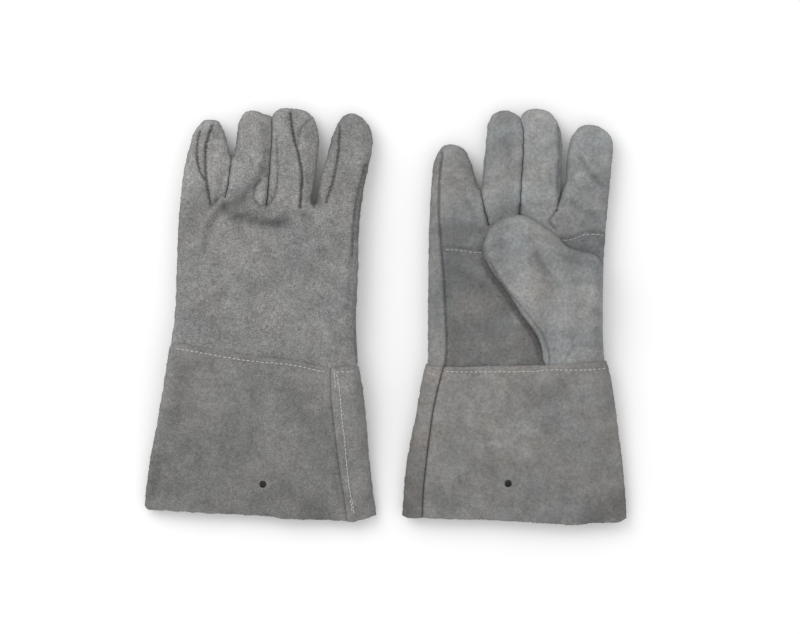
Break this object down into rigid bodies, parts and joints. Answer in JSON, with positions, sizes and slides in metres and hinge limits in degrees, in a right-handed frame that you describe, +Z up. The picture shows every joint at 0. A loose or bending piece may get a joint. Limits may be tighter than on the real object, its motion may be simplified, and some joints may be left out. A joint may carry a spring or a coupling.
{
  "type": "welding gloves",
  "caption": "Pair of long grey split-leather welding gauntlets with flared lapped cuffs, laid flat, one palm down and one palm up.",
  "frame": {"origin": "centre of the pair's outline, on the surface the gloves lie on", "axes": "+Y to the fingertips, +X across the pair from the palm-down left glove to the palm-up right glove, +Z up"},
  "size_m": [0.4073, 0.3534, 0.0341],
  "materials": {
    "split_leather": "matte suede nap",
    "stitch_thread": "off-white twisted thread",
    "cotton_lining": "matte cotton"
  },
  "bodies": {
    "right_glove": {"right_cuff_back": "split_leather", "right_cuff_join_stitches": "stitch_thread", "right_cuff_lap_stitches": "stitch_thread", "right_cuff_palm": "split_leather", "right_finger_base_stitches": "stitch_thread", "right_hand_back": "split_leather", "right_hand_lining": "cotton_lining", "right_hand_palm": "split_leather"},
    "right_little": {"right_little_back": "split_leather", "right_little_front": "split_leather", "right_little_gusset_thumb_side": "split_leather"},
    "right_ring": {"right_ring_back": "split_leather", "right_ring_front": "split_leather", "right_ring_gusset_little_side": "split_leather", "right_ring_gusset_thumb_side": "split_leather"},
    "right_middle": {"right_middle_back": "split_leather", "right_middle_front": "split_leather", "right_middle_gusset_little_side": "split_leather", "right_middle_gusset_thumb_side": "split_leather"},
    "right_index": {"right_index_back": "split_leather", "right_index_front": "split_leather", "right_index_gusset_little_side": "split_leather"},
    "right_thumb": {"right_thumb_inner": "split_leather", "right_thumb_outer": "split_leather"},
    "left_glove": {"left_cuff_back": "split_leather", "left_cuff_join_stitches": "stitch_thread", "left_cuff_lap_stitches": "stitch_thread", "left_cuff_palm": "split_leather", "left_finger_base_stitches": "stitch_thread", "left_hand_back": "split_leather", "left_hand_lining": "cotton_lining", "left_hand_palm": "split_leather"},
    "left_little": {"left_little_back": "split_leather", "left_little_front": "split_leather", "left_little_gusset_thumb_side": "split_leather"},
    "left_ring": {"left_ring_back": "split_leather", "left_ring_front": "split_leather", "left_ring_gusset_little_side": "split_leather", "left_ring_gusset_thumb_side": "split_leather"},
    "left_middle": {"left_middle_back": "split_leather", "left_middle_front": "split_leather", "left_middle_gusset_little_side": "split_leather", "left_middle_gusset_thumb_side": "split_leather"},
    "left_index": {"left_index_back": "split_leather", "left_index_front": "split_leather", "left_index_gusset_little_side": "split_leather"},
    "left_thumb": {"left_thumb_inner": "split_leather", "left_thumb_outer": "split_leather"}
  },
  "joints": [
    {"name": "right_little_curl", "type": "hinge", "parent": "right_glove", "child": "right_little", "pos_m": [0.0603, 0.0875, 0.0132], "axis": [0.9983, 0.0576, 0], "range_deg": [-20, 75]},
    {"name": "right_ring_curl", "type": "hinge", "parent": "right_glove", "child": "right_ring", "pos_m": [0.0968, 0.0934, 0.0132], "axis": [0.9969, -0.0785, 0], "range_deg": [-20, 75]},
    {"name": "right_middle_curl", "type": "hinge", "parent": "right_glove", "child": "right_middle", "pos_m": [0.1314, 0.0934, 0.0132], "axis": [0.9998, -0.0209, 0], "range_deg": [-20, 75]},
    {"name": "right_index_curl", "type": "hinge", "parent": "right_glove", "child": "right_index", "pos_m": [0.1675, 0.0883, 0.0132], "axis": [0.9936, -0.1132, 0], "range_deg": [-20, 75]},
    {"name": "right_thumb_open", "type": "hinge", "parent": "right_glove", "child": "right_thumb", "pos_m": [0.1858, 0, 0.0217], "axis": [0, 1, 0], "range_deg": [0, 120]},
    {"name": "left_glove_lift", "type": "slide", "parent": "right_glove", "child": "left_glove", "axis": [0, 0, 1], "range_m": [0, 0.15]},
    {"name": "left_little_curl", "type": "hinge", "parent": "left_glove", "child": "left_little", "pos_m": [-0.1536, 0.0968, 0.0209], "axis": [-0.9963, 0.0854, 0], "range_deg": [-20, 75]},
    {"name": "left_ring_curl", "type": "hinge", "parent": "left_glove", "child": "left_ring", "pos_m": [-0.1157, 0.0968, 0.0209], "axis": [-0.9969, 0.0785, 0], "range_deg": [-20, 75]},
    {"name": "left_middle_curl", "type": "hinge", "parent": "left_glove", "child": "left_middle", "pos_m": [-0.0802, 0.0968, 0.0209], "axis": [-0.9978, 0.0663, 0], "range_deg": [-20, 75]},
    {"name": "left_index_curl", "type": "hinge", "parent": "left_glove", "child": "left_index", "pos_m": [-0.0386, 0.0968, 0.0209], "axis": [-0.9877, 0.1564, 0], "range_deg": [-20, 75]},
    {"name": "left_thumb_open", "type": "hinge", "parent": "left_glove", "child": "left_thumb", "pos_m": [-0.0233, 0, 0.0124], "axis": [0, -1, 0], "range_deg": [0, 120]}
  ]
}
